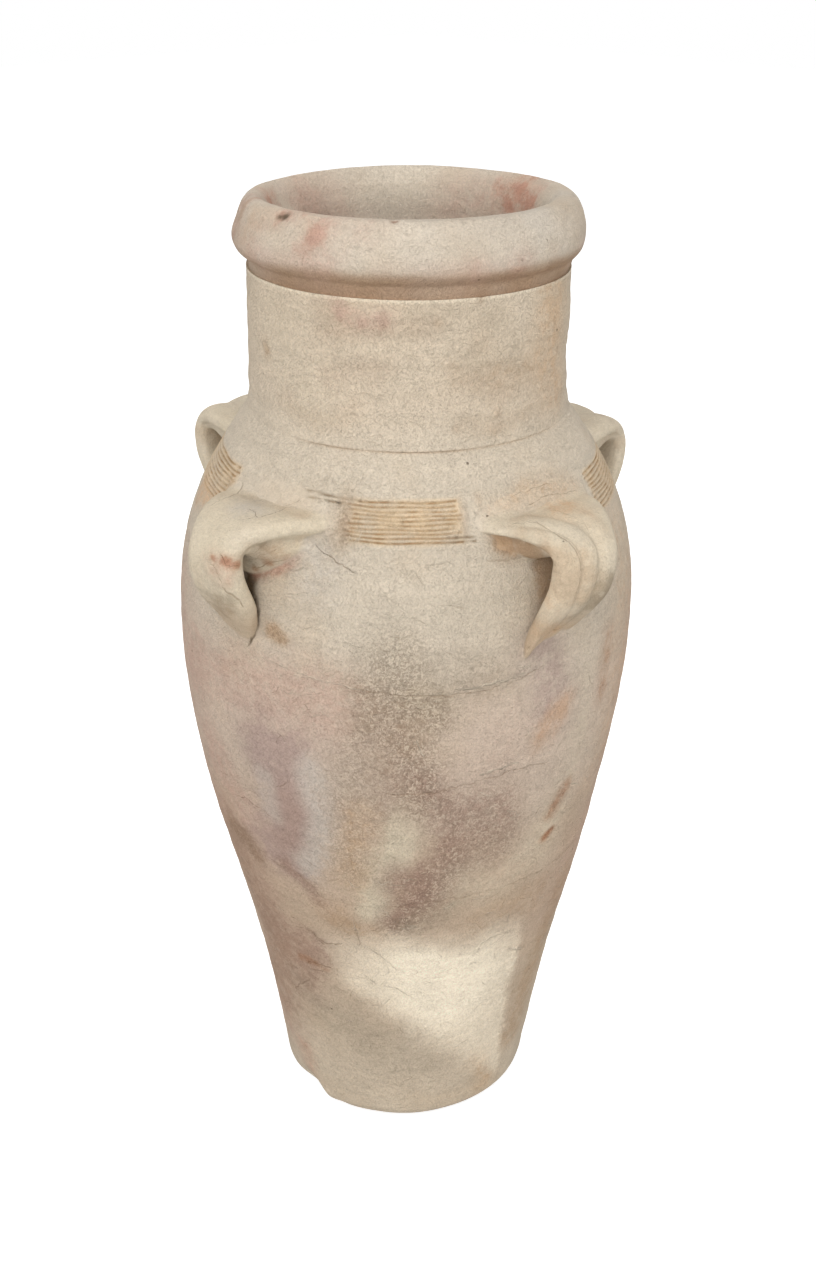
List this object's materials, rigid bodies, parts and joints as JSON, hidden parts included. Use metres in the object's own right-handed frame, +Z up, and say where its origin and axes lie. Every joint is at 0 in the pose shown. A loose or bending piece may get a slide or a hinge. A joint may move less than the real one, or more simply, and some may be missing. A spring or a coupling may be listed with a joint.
{
  "type": "handled amphora",
  "caption": "Unglazed terracotta amphora with a tall swelling body, combed shoulder, straight neck, rolled lip and grooved strap handles; stands on a flat foot and holds dry goods or plants.",
  "frame": {"origin": "centre of the foot, on the surface that the jar stands on", "axes": "+Z up along the jar's axis, +X towards the front right handle"},
  "size_m": [0.217, 0.2166, 0.4],
  "materials": {
    "base_clay": "matt unglazed terracotta, tan",
    "body_clay": "matt unglazed terracotta, cream with pink and smoky patches",
    "shoulder_clay": "matt unglazed terracotta, cream with peach combing",
    "collar_clay": "matt unglazed terracotta, cream with throwing rings",
    "rim_clay": "matt unglazed terracotta, cream with a pink blush",
    "pad_clay": "matt unglazed terracotta, peach slip",
    "handle_clay": "matt unglazed terracotta, cream"
  },
  "bodies": {
    "root": {"base_slab": "base_clay", "lower_body": "body_clay", "upper_body": "shoulder_clay", "neck_collar": "collar_clay", "rim_roll": "rim_clay", "root_pad_front_right": "pad_clay", "handle_front_right": "handle_clay", "root_pad_back_right": "pad_clay", "handle_back_right": "handle_clay", "root_pad_back_left": "pad_clay", "handle_back_left": "handle_clay", "root_pad_front_left": "pad_clay", "handle_front_left": "handle_clay"}
  },
  "joints": []
}
